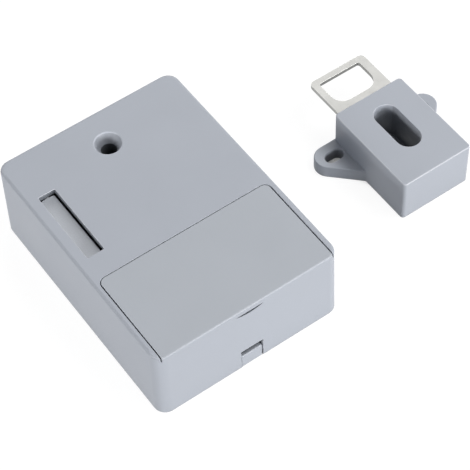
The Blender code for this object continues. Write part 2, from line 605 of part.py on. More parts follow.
def build_chassis():
    low, top = FLOOR_Z
    chassis = box((-21.6 * MM, 28.5 * MM), (-4.0 * MM, 25.2 * MM), FLOOR_Z)
    guide_z = (low, 26.8 * MM)
    guide_y = (-4.0 * MM, 28.2 * MM)
    join(chassis,
         box((-22.5 * MM, -21.3 * MM), guide_y, guide_z),
         box((-30.5 * MM, -29.3 * MM), guide_y, guide_z),
         box((-30.0 * MM, -22.0 * MM), (-4.0 * MM, -2.7 * MM), guide_z),
         box((-30.0 * MM, -22.0 * MM), (26.9 * MM, 28.2 * MM), guide_z))
    # Rails that the bolt slides on, and the wall with the screw's far bearing
    rail_inner = 3.9 * MM
    rail_outer = 5.8 * MM
    for side in (-1, 1):
        rail_y = sorted((WORK_Y + side * rail_inner, WORK_Y + side * rail_outer))
        join(chassis, box((-22.0 * MM, 2.5 * MM), rail_y, (top - 0.5 * MM, BOLT_Z[0] - GAP)))
        cradle_y = sorted((WORK_Y + side * 6.3 * MM, WORK_Y + side * 7.6 * MM))
        join(chassis, box((5.0 * MM, 12.0 * MM), cradle_y, (top - 0.5 * MM, 14.0 * MM)))
    join(chassis, box((-14.8 * MM, -13.4 * MM), about(WORK_Y, 4.5 * MM), (top - 0.5 * MM, 15.4 * MM)))
    cut(chassis, cylinder((WORK_Y, SCREW_AXIS_Z), 1.5 * MM, -16 * MM, -13 * MM, "X", 14))
    bolt_way = BOLT_HALF_WIDTH + 0.4 * MM
    cut(chassis, box((-23.5 * MM, -20.5 * MM), about(WORK_Y, bolt_way),
                     (BOLT_Z[0] - GAP, BOLT_Z[1] + GAP)))
    join(chassis, box((GEARBOX_X[0], MOTOR_X[1]), about(WORK_Y, 4 * MM), (top - 0.5 * MM, 6.7 * MM)))
    for place in KEEPER_POSTS:
        join(chassis, cylinder(place, 2.0 * MM, top - 0.5 * MM, BOLT_Z[0] - GAP, sides=12))
        cut(chassis, cylinder(place, 0.9 * MM, 10 * MM, BOLT_Z[0] + 1 * MM, sides=8))
    for place in CHASSIS_BOSSES:
        cut(chassis, cylinder(place, 1.2 * MM, low - 1 * MM, top + 1 * MM, sides=10))
    finish(chassis, "mechanism_chassis", "dark_plastic")
    for name, place in zip(("left", "right", "rear"), CHASSIS_BOSSES):
        screw(f"chassis_screw_{name}", (*place, low - GAP), 1, 1.9 * MM, 6.5 * MM)


def build_bolt():
    nose_slope = 4.0 * MM
    width = about(WORK_Y, BOLT_HALF_WIDTH)
    side = ((BOLT_X[0], BOLT_Z[0]), (BOLT_X[1], BOLT_Z[0]), (BOLT_X[1], BOLT_Z[1]),
            (BOLT_X[0] + nose_slope, BOLT_Z[1]), (BOLT_X[0], BOLT_Z[0] + 1.2 * MM))
    bolt = prism([(x, z) for x, z in side], width[0], width[1], "Y")
    arm = about(FOLLOWER_X, 2.6 * MM)
    tooth = about(FOLLOWER_X, 0.8 * MM)
    outside = SCREW_AXIS_Z + SCREW_OUTER
    join(bolt, box(arm, about(WORK_Y, 3.2 * MM), (outside + 0.4 * MM, BOLT_Z[0] + 1 * MM)))
    in_groove = SCREW_AXIS_Z + SCREW_CORE + GAP
    join(bolt, box(tooth, about(WORK_Y, 1.0 * MM), (in_groove, outside + 1 * MM)))
    finish(bolt, "latch_bolt", "zinc", smooth=False, origin=(BOLT_X[0], WORK_Y, BOLT_Z[0]))


def build_keeper():
    """The bridge that holds the bolt down on its rails."""
    low = BOLT_Z[0]
    over = BOLT_Z[1] + GAP
    x = (-18.5 * MM, -1.0 * MM)
    inner = BOLT_HALF_WIDTH + GAP
    outer = inner + 1.3 * MM
    ear_height = 1.4 * MM
    keeper = box(x, about(WORK_Y, outer), (low, over + 1.2 * MM))
    cut(keeper, box((x[0] - 1 * MM, x[1] + 1 * MM), about(WORK_Y, inner), (low - 1 * MM, over)))
    for place in KEEPER_POSTS:
        side = 1 if place[1] > WORK_Y else -1
        ear_y = sorted((WORK_Y + side * (inner + 0.5 * MM), place[1] + side * 2.0 * MM))
        join(keeper, box(about(place[0], 2.6 * MM), ear_y, (low, low + ear_height)))
        cut(keeper, cylinder(place, 1.1 * MM, low - 1 * MM, low + 3 * MM, sides=10))
    finish(keeper, "bolt_keeper", "white_plastic", smooth=False)
    for name, place in zip(("near", "far"), KEEPER_POSTS):
        screw(f"keeper_screw_{name}", (*place, low + ear_height + GAP), -1, 1.7 * MM, 6.0 * MM)


def build_drive_screw():
    """A single-start thread drawn out along X; the groove is on top where the bolt's tooth sits."""
    groove = [(angle, SCREW_CORE) for angle in (-66, -33, 0, 33, 66)]
    ridge = [(angle, SCREW_OUTER) for angle in (96, 138, 180, 222, 264)]
    section = groove + ridge
    slices = int(round((SCREW_X[1] - SCREW_X[0]) / SCREW_LEAD * 12))
    rings = []
    for i in range(slices + 1):
        x = SCREW_X[0] + (SCREW_X[1] - SCREW_X[0]) * i / slices
        twist = 90 + 360 * (x - FOLLOWER_X) / SCREW_LEAD
        rings.append([(x, radius * math.cos(math.radians(twist + angle)),
                       radius * math.sin(math.radians(twist + angle))) for angle, radius in section])
    thread = loft(rings)
    join(thread, cylinder((0.0, 0.0), 1.3 * MM, -15.2 * MM, SCREW_X[0] + 1 * MM, "X", 12))
    join(thread, cylinder((0.0, 0.0), 1.5 * MM, SCREW_X[1] - 1 * MM, GEARBOX_X[0] + 3 * MM, "X", 14))
    finish(thread, "drive_screw", "brass")
    thread.location = (0.0, WORK_Y, SCREW_AXIS_Z)


def motor_section(sides=24):
    """A round can with its top and bottom flattened."""
    flat = 5.0 * MM
    can = circle((0.0, 0.0), 6.0 * MM, sides)
    return [(WORK_Y + y, SCREW_AXIS_Z + max(-flat, min(flat, z))) for y, z in can]


def build_motor():
    centre = (WORK_Y, SCREW_AXIS_Z)
    gearbox = prism(rounded_rectangle(6.0 * MM, 5.0 * MM, 1.0 * MM, 2, centre), *GEARBOX_X, "X")
    join(gearbox, cylinder(centre, 2.2 * MM, GEARBOX_X[0] - 0.6 * MM, GEARBOX_X[0] + 1 * MM, "X", 16))
    cut(gearbox, cylinder(centre, 1.7 * MM, GEARBOX_X[0] - 2 * MM, GEARBOX_X[0] + 3.5 * MM, "X", 16))
    finish(gearbox, "gearbox", "brass")
    finish(prism(motor_section(), MOTOR_X[0], MOTOR_X[1], "X"), "motor", "stainless")
    cap = prism(motor_section(), END_CAP_X[0], END_CAP_X[1], "X")
    for side in (-1, 1):
        tab = sorted((WORK_Y + side * 3.4 * MM, WORK_Y + side * 4.4 * MM))
        join(cap, box((END_CAP_X[1] - 0.5 * MM, END_CAP_X[1] + 0.8 * MM), tab, (11.0 * MM, 13.0 * MM)))
    finish(cap, "motor_end_cap", "dark_plastic")
    strap_x = (6.5 * MM, 11.5 * MM)
    inner = 7.9 * MM
    outer = 9.2 * MM
    over = SCREW_AXIS_Z + 5.0 * MM + GAP
    strap = box(strap_x, about(WORK_Y, outer), (7.0 * MM, over + 1.2 * MM))
    cut(strap, box((5 * MM, 13 * MM), about(WORK_Y, inner), (6 * MM, over)))
    finish(strap, "motor_strap", "stainless", smooth=False)


def build_position_switch():
    """A small switch on the strap; its lever hangs behind the tail of the bolt."""
    pivot_x, pivot_z = LEVER_PIVOT
    foot = SCREW_AXIS_Z + 5.0 * MM + GAP + 1.2 * MM + GAP
    half = 3.0 * MM
    body = box((6.8 * MM, 12.6 * MM), about(WORK_Y, half), (foot, 24.2 * MM))
    for side in (-1, 1):
        ear = sorted((WORK_Y + side * (half - 0.8 * MM), WORK_Y + side * half))
        join(body, box((pivot_x - 0.9 * MM, 7.2 * MM), ear, (pivot_z - 0.9 * MM, 24.2 * MM)))
    cut(body, cylinder((pivot_x, pivot_z), 0.55 * MM, WORK_Y - 2 * half, WORK_Y + 2 * half, "Y", 12))
    finish(body, "position_switch", "dark_plastic", smooth=False)
    knuckle = 1.9 * MM
    lever = cylinder((pivot_x, pivot_z), 0.7 * MM, WORK_Y - knuckle, WORK_Y + knuckle, "Y", 12)
    join(lever, cylinder((pivot_x, pivot_z), 0.4 * MM, *about(WORK_Y, half - 0.1 * MM), "Y", 8))
    join(lever, box(about(pivot_x, 0.25 * MM), about(WORK_Y, knuckle),
                    (foot + 0.4 * MM, pivot_z)))
    finish(lever, "switch_lever", "stainless", smooth=False, origin=(pivot_x, WORK_Y, pivot_z))


def build_leads():
    """Leads inside the case; each runs from a terminal to the back of the connector on the board."""
    routes = {
        "motor_lead_positive": ("red_lead", ((30.2, 7.2, 11.9), (30.1, 3.0, 11.0), (29.3, -3.0, 9.8),
                                             (23.0, -6.4, 8.6), (14.0, -6.8, 8.2), (9.6, -7.0, 8.1),
                                             (9.0, -8.5, 8.2))),
        "motor_lead_negative": ("black_lead", ((30.2, 15.2, 12.1), (30.35, 12.2, 15.6), (30.3, 6.0, 13.6),
                                               (29.6, -2.0, 12.2), (22.0, -5.6, 10.6), (12.0, -5.4, 10.0),
                                               (4.5, -6.0, 9.0), (3.0, -8.4, 8.6))),
        "battery_lead_positive": ("red_lead", ((19.2, -16.6, 11.6), (18.6, -14.5, 9.6), (15.5, -11.6, 8.6),
                                               (12.6, -11.5, 8.6))),
        "battery_lead_negative": ("black_lead", ((-30.3, -37.3, 11.6), (-30.0, -35.0, 9.8),
                                                 (-28.4, -24.0, 9.2), (-20.0, -11.5, 8.8),
                                                 (-8.0, -10.5, 8.6), (-1.6, -11.5, 8.6))),
    }
    for name, (colour, knots) in routes.items():
        wire(name, smooth_route([tuple(part * MM for part in knot) for knot in knots]), 0.5 * MM, colour)


def build_base_screws():
    for side, place in zip(("left", "right"), BASE_BOSSES):
        head_under = (*place, BASE_SCREW_SEAT - GAP)
        screw(f"base_screw_{side}", head_under, 1, 2.4 * MM, 7.0 * MM, shank_radius=0.75 * MM)


# Strike


def ear_outline(side):
    """One slotted ear: straight far edge, round tip, near edge slanting back to the block."""
    far = EAR_TIP[1] + EAR_RADIUS
    root = BLOCK_HALF_X - 1.5 * MM
    slant = EAR_RADIUS * math.sqrt(2)
    near_root = EAR_TIP[1] - slant + root - EAR_TIP[0]
    points = [(root, near_root)]
    points += arc(EAR_TIP, EAR_RADIUS, -45, 90, 10)
    points += [(root, far)]
    shift = RIGHT_EAR_SHIFT if side > 0 else 0.0
    return [(side * x, y + shift) for x, y in points]


def ear_slot(side):
    x, y = EAR_SLOT
    if side > 0:
        x, y = x - RIGHT_SLOT_INSET, y + RIGHT_EAR_SHIFT
    return oblong((side * x, y), EAR_SLOT_HALF_LENGTH, EAR_SLOT_HALF_WIDTH)


def build_strike():
    frame = bpy.data.objects.new("strike_frame", None)
    bpy.context.collection.objects.link(frame)
    frame.location = STRIKE_PLACE

    def ring(level, inset):
        outline = rounded_rectangle(BLOCK_HALF_X - inset, BLOCK_HALF_Y - inset, BLOCK_CORNER, 3)
        return [(x, y, level) for x, y in outline]

    shoulder = BLOCK_HEIGHT - BLOCK_FILLET
    rings = [ring(0.0, 0.0), ring(shoulder, 0.0)]
    for angle in (30, 60, 90):
        turn = math.radians(angle)
        rings.append(ring(shoulder + BLOCK_FILLET * math.sin(turn), BLOCK_FILLET * (1 - math.cos(turn))))
    block = loft(rings)
    for side in (-1, 1):
        join(block, prism(ear_outline(side), 0.0, EAR_HEIGHT))
        cut(block, prism(ear_slot(side), -1 * MM, EAR_HEIGHT + 1 * MM))

    # Hollow from below, with the wall and floor of the screw well left standing in it
    inner = (BLOCK_HALF_X - BLOCK_WALL, BLOCK_HALF_Y - BLOCK_WALL)
    core = box((-inner[0], inner[0]), (-inner[1], inner[1]), (-1 * MM, BLOCK_ROOF_UNDER))
    well_centre = (0.0, sum(STRIKE_WELL_Y) / 2)
    well_half = (STRIKE_WELL_Y[1] - STRIKE_WELL_Y[0]) / 2
    sleeve_half = STRIKE_WELL_HALF + STRIKE_WELL_WALL
    sleeve = prism(oblong(well_centre, well_half + STRIKE_WELL_WALL, sleeve_half, "Y"), -2 * MM, BLOCK_HEIGHT)
    cut(core, sleeve)
    cut(block, core)
    well = oblong(well_centre, well_half, STRIKE_WELL_HALF, "Y", 14)
    cut(block, prism(well, STRIKE_WELL_FLOOR, BLOCK_HEIGHT + 1 * MM))
    screw_slot = oblong(well_centre, well_half - 2.1 * MM, 2.25 * MM, "Y")
    cut(block, prism(screw_slot, -1 * MM, STRIKE_WELL_FLOOR + 1 * MM))
    cut(block, box((-TONGUE_HALF - GAP, TONGUE_HALF + GAP), (inner[1] - 1 * MM, BLOCK_HALF_Y + 1 * MM),
                   (TONGUE_Z[0] - GAP, TONGUE_Z[1] + GAP)))
    for place in TONGUE_SCREWS:
        cut(block, cylinder(place, 1.0 * MM, 14 * MM, BLOCK_HEIGHT - 0.6 * MM, sides=8))
    finish(block, "strike_block", "grey_plastic", parent=frame)

    # Steel tongue: a window at its tip, and a fork at its root that straddles the screw well
    tip_corner = 1.8 * MM
    tongue = prism([(TONGUE_HALF, -8.0 * MM)]
                   + arc((TONGUE_HALF - tip_corner, TONGUE_TIP - tip_corner), tip_corner, 0, 90, 4)
                   + arc((-TONGUE_HALF + tip_corner, TONGUE_TIP - tip_corner), tip_corner, 90, 180, 4)
                   + [(-TONGUE_HALF, -8.0 * MM)], *TONGUE_Z)
    window_far = 0.8 * MM
    window_near = 4.6 * MM
    left, right = TONGUE_WINDOW_X
    low, high = TONGUE_WINDOW_Y
    window = (arc((right - window_far, high - window_far), window_far, 0, 90, 3)
              + arc((left + window_far, high - window_far), window_far, 90, 180, 3)
              + arc((left + window_near, low + window_near), window_near, 180, 270, 7)
              + arc((right - window_near, low + window_near), window_near, 270, 360, 7))
    through = (TONGUE_Z[0] - 1 * MM, TONGUE_Z[1] + 1 * MM)
    cut(tongue, prism(window, *through))
    fork_half = sleeve_half + 0.4 * MM
    fork_centre = STRIKE_WELL_Y[1] - STRIKE_WELL_HALF
    cut(tongue, prism([(-fork_half, -10 * MM), (fork_half, -10 * MM)]
                      + arc((0.0, fork_centre), fork_half, 0, 180, 12), *through))
    for place in TONGUE_SCREWS:
        cut(tongue, cylinder(place, 1.1 * MM, *through, sides=12))
    finish(tongue, "strike_tongue", "stainless", parent=frame)
    for side, place in zip(("left", "right"), TONGUE_SCREWS):
        screw(f"tongue_screw_{side}", (*place, TONGUE_Z[0] - GAP), 1, 1.9 * MM, 2.6 * MM, parent=frame)


def main():
    clear_scene()
    build_housing()
    build_cover()
    build_base_plate()
    build_base_screws()
    build_batteries()
    build_board()
    build_ejector()
    build_chassis()
    build_bolt()
    build_keeper()
    build_drive_screw()
    build_motor()
    build_position_switch()
    build_leads()
    build_strike()


main()
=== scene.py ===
import json
import math

import bmesh
import bpy
from mathutils import Matrix, Vector


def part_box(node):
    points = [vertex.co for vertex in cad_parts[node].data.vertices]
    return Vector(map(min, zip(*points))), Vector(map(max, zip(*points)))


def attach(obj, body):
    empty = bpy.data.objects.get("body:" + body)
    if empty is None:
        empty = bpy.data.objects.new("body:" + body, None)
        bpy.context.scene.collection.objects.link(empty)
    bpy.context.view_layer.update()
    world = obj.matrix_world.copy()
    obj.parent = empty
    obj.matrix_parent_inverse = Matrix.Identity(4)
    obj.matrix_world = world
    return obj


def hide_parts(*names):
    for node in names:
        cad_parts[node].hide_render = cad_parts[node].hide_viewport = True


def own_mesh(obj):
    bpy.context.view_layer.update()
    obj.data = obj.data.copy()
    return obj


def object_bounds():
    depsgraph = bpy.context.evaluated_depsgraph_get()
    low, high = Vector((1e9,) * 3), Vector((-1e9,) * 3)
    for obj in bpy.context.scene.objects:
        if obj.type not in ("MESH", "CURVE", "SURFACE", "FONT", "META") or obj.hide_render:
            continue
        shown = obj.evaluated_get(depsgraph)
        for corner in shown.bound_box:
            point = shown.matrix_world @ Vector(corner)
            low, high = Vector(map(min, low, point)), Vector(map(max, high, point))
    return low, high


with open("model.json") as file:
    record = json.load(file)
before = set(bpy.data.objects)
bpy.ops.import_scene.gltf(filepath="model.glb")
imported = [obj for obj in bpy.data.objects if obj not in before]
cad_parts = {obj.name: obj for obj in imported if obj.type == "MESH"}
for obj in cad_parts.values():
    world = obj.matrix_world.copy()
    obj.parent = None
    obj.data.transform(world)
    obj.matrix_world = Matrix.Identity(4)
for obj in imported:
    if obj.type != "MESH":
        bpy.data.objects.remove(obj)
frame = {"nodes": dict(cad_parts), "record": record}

# Cabinet lock and its strike: looks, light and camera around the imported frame
# In every function v is the dictionary of values of the piece at hand
mm = 0.001
cadBox = [list(corner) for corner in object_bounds()]
scene = bpy.context.scene
scene.view_settings.view_transform = "Standard"
print("frame in:", len(frame["nodes"]), "nodes")


def addObject(name, data):
    made = bpy.data.objects.new(name, data)
    bpy.context.collection.objects.link(made)
    return made


# Camera at the photograph's angle
shot = {
    "azimuth": -33.23,
    "elevation": 53.87,
    "roll": -2.73,
    "distance": 577.54 * mm,
    "aside": -20.75 * mm,
    "above": -9.13 * mm,
    "lens": 139.74,
    "sensor": 36.0,
    "clip": (0.01, 20),
}


def setCamera(v):
    azimuth, elevation, roll = (math.radians(v[key]) for key in ("azimuth", "elevation", "roll"))
    back = Vector((math.sin(azimuth) * math.cos(elevation),
                   -math.cos(azimuth) * math.cos(elevation), math.sin(elevation)))
    right = (-back).cross(Vector((0, 0, 1))).normalized()
    up = right.cross(-back)
    rightTilted = right * math.cos(roll) + up * math.sin(roll)
    upTilted = up * math.cos(roll) - right * math.sin(roll)
    spot = back * v["distance"] - rightTilted * v["aside"] - upTilted * v["above"]
    data = bpy.data.cameras.new("shot")
    data.lens = v["lens"]
    data.sensor_width = v["sensor"]
    data.clip_start, data.clip_end = v["clip"]
    camera = addObject("shot", data)
    turn = Matrix((rightTilted, upTilted, back)).transposed().to_4x4()
    camera.matrix_world = Matrix.Translation(spot) @ turn
    scene.camera = camera


setCamera(shot)
print("camera set")


# Shader helpers
def putNode(tree, kind, inputs=None, **settings):
    node = tree.nodes.new(kind)
    for name, value in settings.items():
        setattr(node, name, value)
    for name, value in (inputs or {}).items():
        if isinstance(value, bpy.types.NodeSocket):
            tree.links.new(value, node.inputs[name])
        else:
            node.inputs[name].default_value = value
    return node


def calc(tree, operation, first, second=0.0):
    return putNode(tree, "ShaderNodeMath", {0: first, 1: second}, operation=operation).outputs[0]


def remap(tree, value, low, high, toLow=0.0, toHigh=1.0):
    return putNode(tree, "ShaderNodeMapRange",
                   {"Value": value, "From Min": low, "From Max": high,
                    "To Min": toLow, "To Max": toHigh}).outputs["Result"]


def mixColor(tree, factor, first, second):
    # sockets 6, 7 and 2 are the colour ones of this node
    return putNode(tree, "ShaderNodeMix", {0: factor, 6: first, 7: second}, data_type="RGBA").outputs[2]


def toneColor(tree, color, tone):
    return putNode(tree, "ShaderNodeHueSaturation", {"Value": tone, "Color": color}).outputs["Color"]


def newGroup(name, inputs, outputs):
    tree = bpy.data.node_groups.new(name, "ShaderNodeTree")
    for label, kind, value in inputs:
        socket = tree.interface.new_socket(name=label, in_out="INPUT", socket_type=kind)
        socket.default_value = value
    for label, kind in outputs:
        tree.interface.new_socket(name=label, in_out="OUTPUT", socket_type=kind)
    return tree, tree.nodes.new("NodeGroupInput").outputs, tree.nodes.new("NodeGroupOutput").inputs


edgeWork = {"samples": 6, "flatMatch": 0.995, "edgeMatch": 0.86}


def edgeMask(tree, reach, v):
    # how far the rounded normal leaves the true one: 0 on flats, 1 on edges
    rounded = putNode(tree, "ShaderNodeBevel", {"Radius": reach}, samples=v["samples"]).outputs[0]
    flat = putNode(tree, "ShaderNodeNewGeometry").outputs["Normal"]
    match = putNode(tree, "ShaderNodeVectorMath", {0: rounded, 1: flat}, operation="DOT_PRODUCT")
    return remap(tree, match.outputs["Value"], v["flatMatch"], v["edgeMatch"])


# Moulded plastic: fine spark grain, slow tone drift, paler edges that are partly handling wear and partly
# painted highlight, painted shade in deep recesses
grainWork = {"fine": {"Detail": 2.0, "Roughness": 0.6}, "fineSpan": (0.25, 0.75),
             "broad": {"Scale": 55.0, "Detail": 3.0, "Roughness": 0.5}, "broadSpan": (0.3, 0.7),
             "wearSheenSpan": (0.35, 0.6), "wearSheenLeast": 0.5, "polish": 0.12,
             "recessReach": 20.0 * mm, "recessSamples": 6, "recessSpan": (0.04, 0.45)}


def makeMouldedGrain(v):
    color, number = "NodeSocketColor", "NodeSocketFloat"
    tree, given, put = newGroup(
        "mouldedGrain",
        (("Color", color, (0.5, 0.5, 0.5, 1)), ("Edge Color", color, (0.8, 0.8, 0.8, 1)),
         ("Grain Scale", number, 4000.0), ("Grain Tone", number, 0.02), ("Tone Drift", number, 0.03),
         ("Edge Reach", number, 0.0003), ("Edge Lift", number, 0.2), ("Recess Tone", number, 1.0),
         ("Roughness", number, 0.5), ("Roughness Spread", number, 0.1)),
        (("Color", color), ("Roughness", number), ("Height", number)))
    coords = putNode(tree, "ShaderNodeTexCoord").outputs["Object"]
    fine = putNode(tree, "ShaderNodeTexNoise",
                   {"Vector": coords, "Scale": given["Grain Scale"], **v["fine"]}).outputs["Fac"]
    broad = putNode(tree, "ShaderNodeTexNoise", {"Vector": coords, **v["broad"]}).outputs["Fac"]
    fineSway = remap(tree, fine, *v["fineSpan"], -1.0, 1.0)
    broadSway = remap(tree, broad, *v["broadSpan"], -1.0, 1.0)
    shift = calc(tree, "ADD", calc(tree, "MULTIPLY", fineSway, given["Grain Tone"]),
                 calc(tree, "MULTIPLY", broadSway, given["Tone Drift"]))
    # painted shade: the colour darkens where ambient occlusion finds a deep recess
    openness = putNode(tree, "ShaderNodeAmbientOcclusion", {"Distance": v["recessReach"]},
                       samples=v["recessSamples"]).outputs["AO"]
    shade = remap(tree, openness, *v["recessSpan"], given["Recess Tone"], 1.0)
    tone = calc(tree, "MULTIPLY", calc(tree, "ADD", shift, 1.0), shade)
    # edge mask, partly wear and partly painted highlight: it lifts edges toward the edge colour and polishes
    # them
    wearAndSheen = calc(tree, "MULTIPLY", edgeMask(tree, given["Edge Reach"], edgeWork),
                remap(tree, broad, *v["wearSheenSpan"], v["wearSheenLeast"], 1.0))
    lifted = calc(tree, "MULTIPLY", wearAndSheen, given["Edge Lift"])
    dressed = mixColor(tree, lifted, toneColor(tree, given["Color"], tone), given["Edge Color"])
    tree.links.new(dressed, put["Color"])
    swing = calc(tree, "MULTIPLY", broadSway, given["Roughness Spread"])
    polished = calc(tree, "SUBTRACT", calc(tree, "ADD", given["Roughness"], swing),
                    calc(tree, "MULTIPLY", wearAndSheen, v["polish"]))
    tree.links.new(polished, put["Roughness"])
    tree.links.new(fine, put["Height"])
    return tree


# Drawn or rolled metal: lines along one way, soft blotches, brighter edges as painted highlight
rolledWork = {"lines": {"Scale": 1.0, "Detail": 4.0, "Roughness": 0.65}, "lineSway": 0.6,
              "broad": {"Scale": 160.0, "Detail": 3.0}, "broadSway": 0.4, "span": (0.3, 0.7)}


def makeRolledLines(v):
    color, number, vector = "NodeSocketColor", "NodeSocketFloat", "NodeSocketVector"
    tree, given, put = newGroup(
        "rolledLines",
        (("Color", color, (0.7, 0.7, 0.7, 1)), ("Edge Color", color, (0.9, 0.9, 0.9, 1)),
         ("Line Scale", vector, (300.0, 9000.0, 9000.0)), ("Tone Drift", number, 0.06),
         ("Edge Reach", number, 0.0002), ("Edge Lift", number, 0.4),
         ("Roughness", number, 0.3), ("Roughness Spread", number, 0.1)),
        (("Color", color), ("Roughness", number), ("Height", number)))
    coords = putNode(tree, "ShaderNodeTexCoord").outputs["Object"]
    drawn = putNode(tree, "ShaderNodeMapping", {"Vector": coords, "Scale": given["Line Scale"]}).outputs[0]
    lines = putNode(tree, "ShaderNodeTexNoise", {"Vector": drawn, **v["lines"]}).outputs["Fac"]
    broad = putNode(tree, "ShaderNodeTexNoise", {"Vector": coords, **v["broad"]}).outputs["Fac"]
    shift = calc(tree, "ADD", remap(tree, lines, *v["span"], -v["lineSway"], v["lineSway"]),
                 remap(tree, broad, *v["span"], -v["broadSway"], v["broadSway"]))
    tone = calc(tree, "ADD", calc(tree, "MULTIPLY", shift, given["Tone Drift"]), 1.0)
    # painted highlight: edges lift toward the edge colour
    lifted = calc(tree, "MULTIPLY", edgeMask(tree, given["Edge Reach"], edgeWork), given["Edge Lift"])
    dressed = mixColor(tree, lifted, toneColor(tree, given["Color"], tone), given["Edge Color"])
    tree.links.new(dressed, put["Color"])
    swing = calc(tree, "MULTIPLY", shift, given["Roughness Spread"])
    tree.links.new(calc(tree, "ADD", given["Roughness"], swing), put["Roughness"])
    tree.links.new(lines, put["Height"])
    return tree


groups = {"moulded": makeMouldedGrain(grainWork), "rolled": makeRolledLines(rolledWork)}
finishWork = {"plasticRelief": 0.05 * mm, "plasticIor": 1.46, "metalRelief": 0.02 * mm}


def dressFinish(name, group, values, bump, relief, shaderValues):
    made = bpy.data.materials.new(name)
    made.use_nodes = True
    tree = made.node_tree
    shader = tree.nodes["Principled BSDF"]
    surface = putNode(tree, "ShaderNodeGroup", node_tree=groups[group])
    for label, value in values.items():
        surface.inputs[label].default_value = value
    raised = putNode(tree, "ShaderNodeBump", {"Height": surface.outputs["Height"],
                                              "Strength": bump, "Distance": relief})
    tree.links.new(surface.outputs["Color"], shader.inputs["Base Color"])
    tree.links.new(surface.outputs["Roughness"], shader.inputs["Roughness"])
    tree.links.new(raised.outputs["Normal"], shader.inputs["Normal"])
    for label, value in shaderValues.items():
        shader.inputs[label].default_value = value
    return made


def plasticFinish(name, color, edge, grain=4000.0, grainTone=0.015, drift=0.012, lift=0.25,
                  reach=0.35 * mm, rough=0.48, spread=0.05, bump=0.12, gloss=0.5, recess=1.0):
    values = {"Color": (*color, 1), "Edge Color": (*edge, 1), "Grain Scale": grain, "Grain Tone": grainTone,
              "Tone Drift": drift, "Edge Reach": reach, "Edge Lift": lift, "Recess Tone": recess,
              "Roughness": rough, "Roughness Spread": spread}
    return dressFinish(name, "moulded", values, bump, finishWork["plasticRelief"],
                       {"IOR": finishWork["plasticIor"], "Specular IOR Level": gloss})


def metalFinish(name, color, edge, lines=(300.0, 9000.0, 9000.0), drift=0.08, lift=0.4,
                reach=0.2 * mm, rough=0.3, spread=0.06, bump=0.08):
    values = {"Color": (*color, 1), "Edge Color": (*edge, 1), "Line Scale": lines, "Tone Drift": drift,
              "Edge Reach": reach, "Edge Lift": lift, "Roughness": rough, "Roughness Spread": spread}
    return dressFinish(name, "rolled", values, bump, finishWork["metalRelief"], {"Metallic": 1.0})


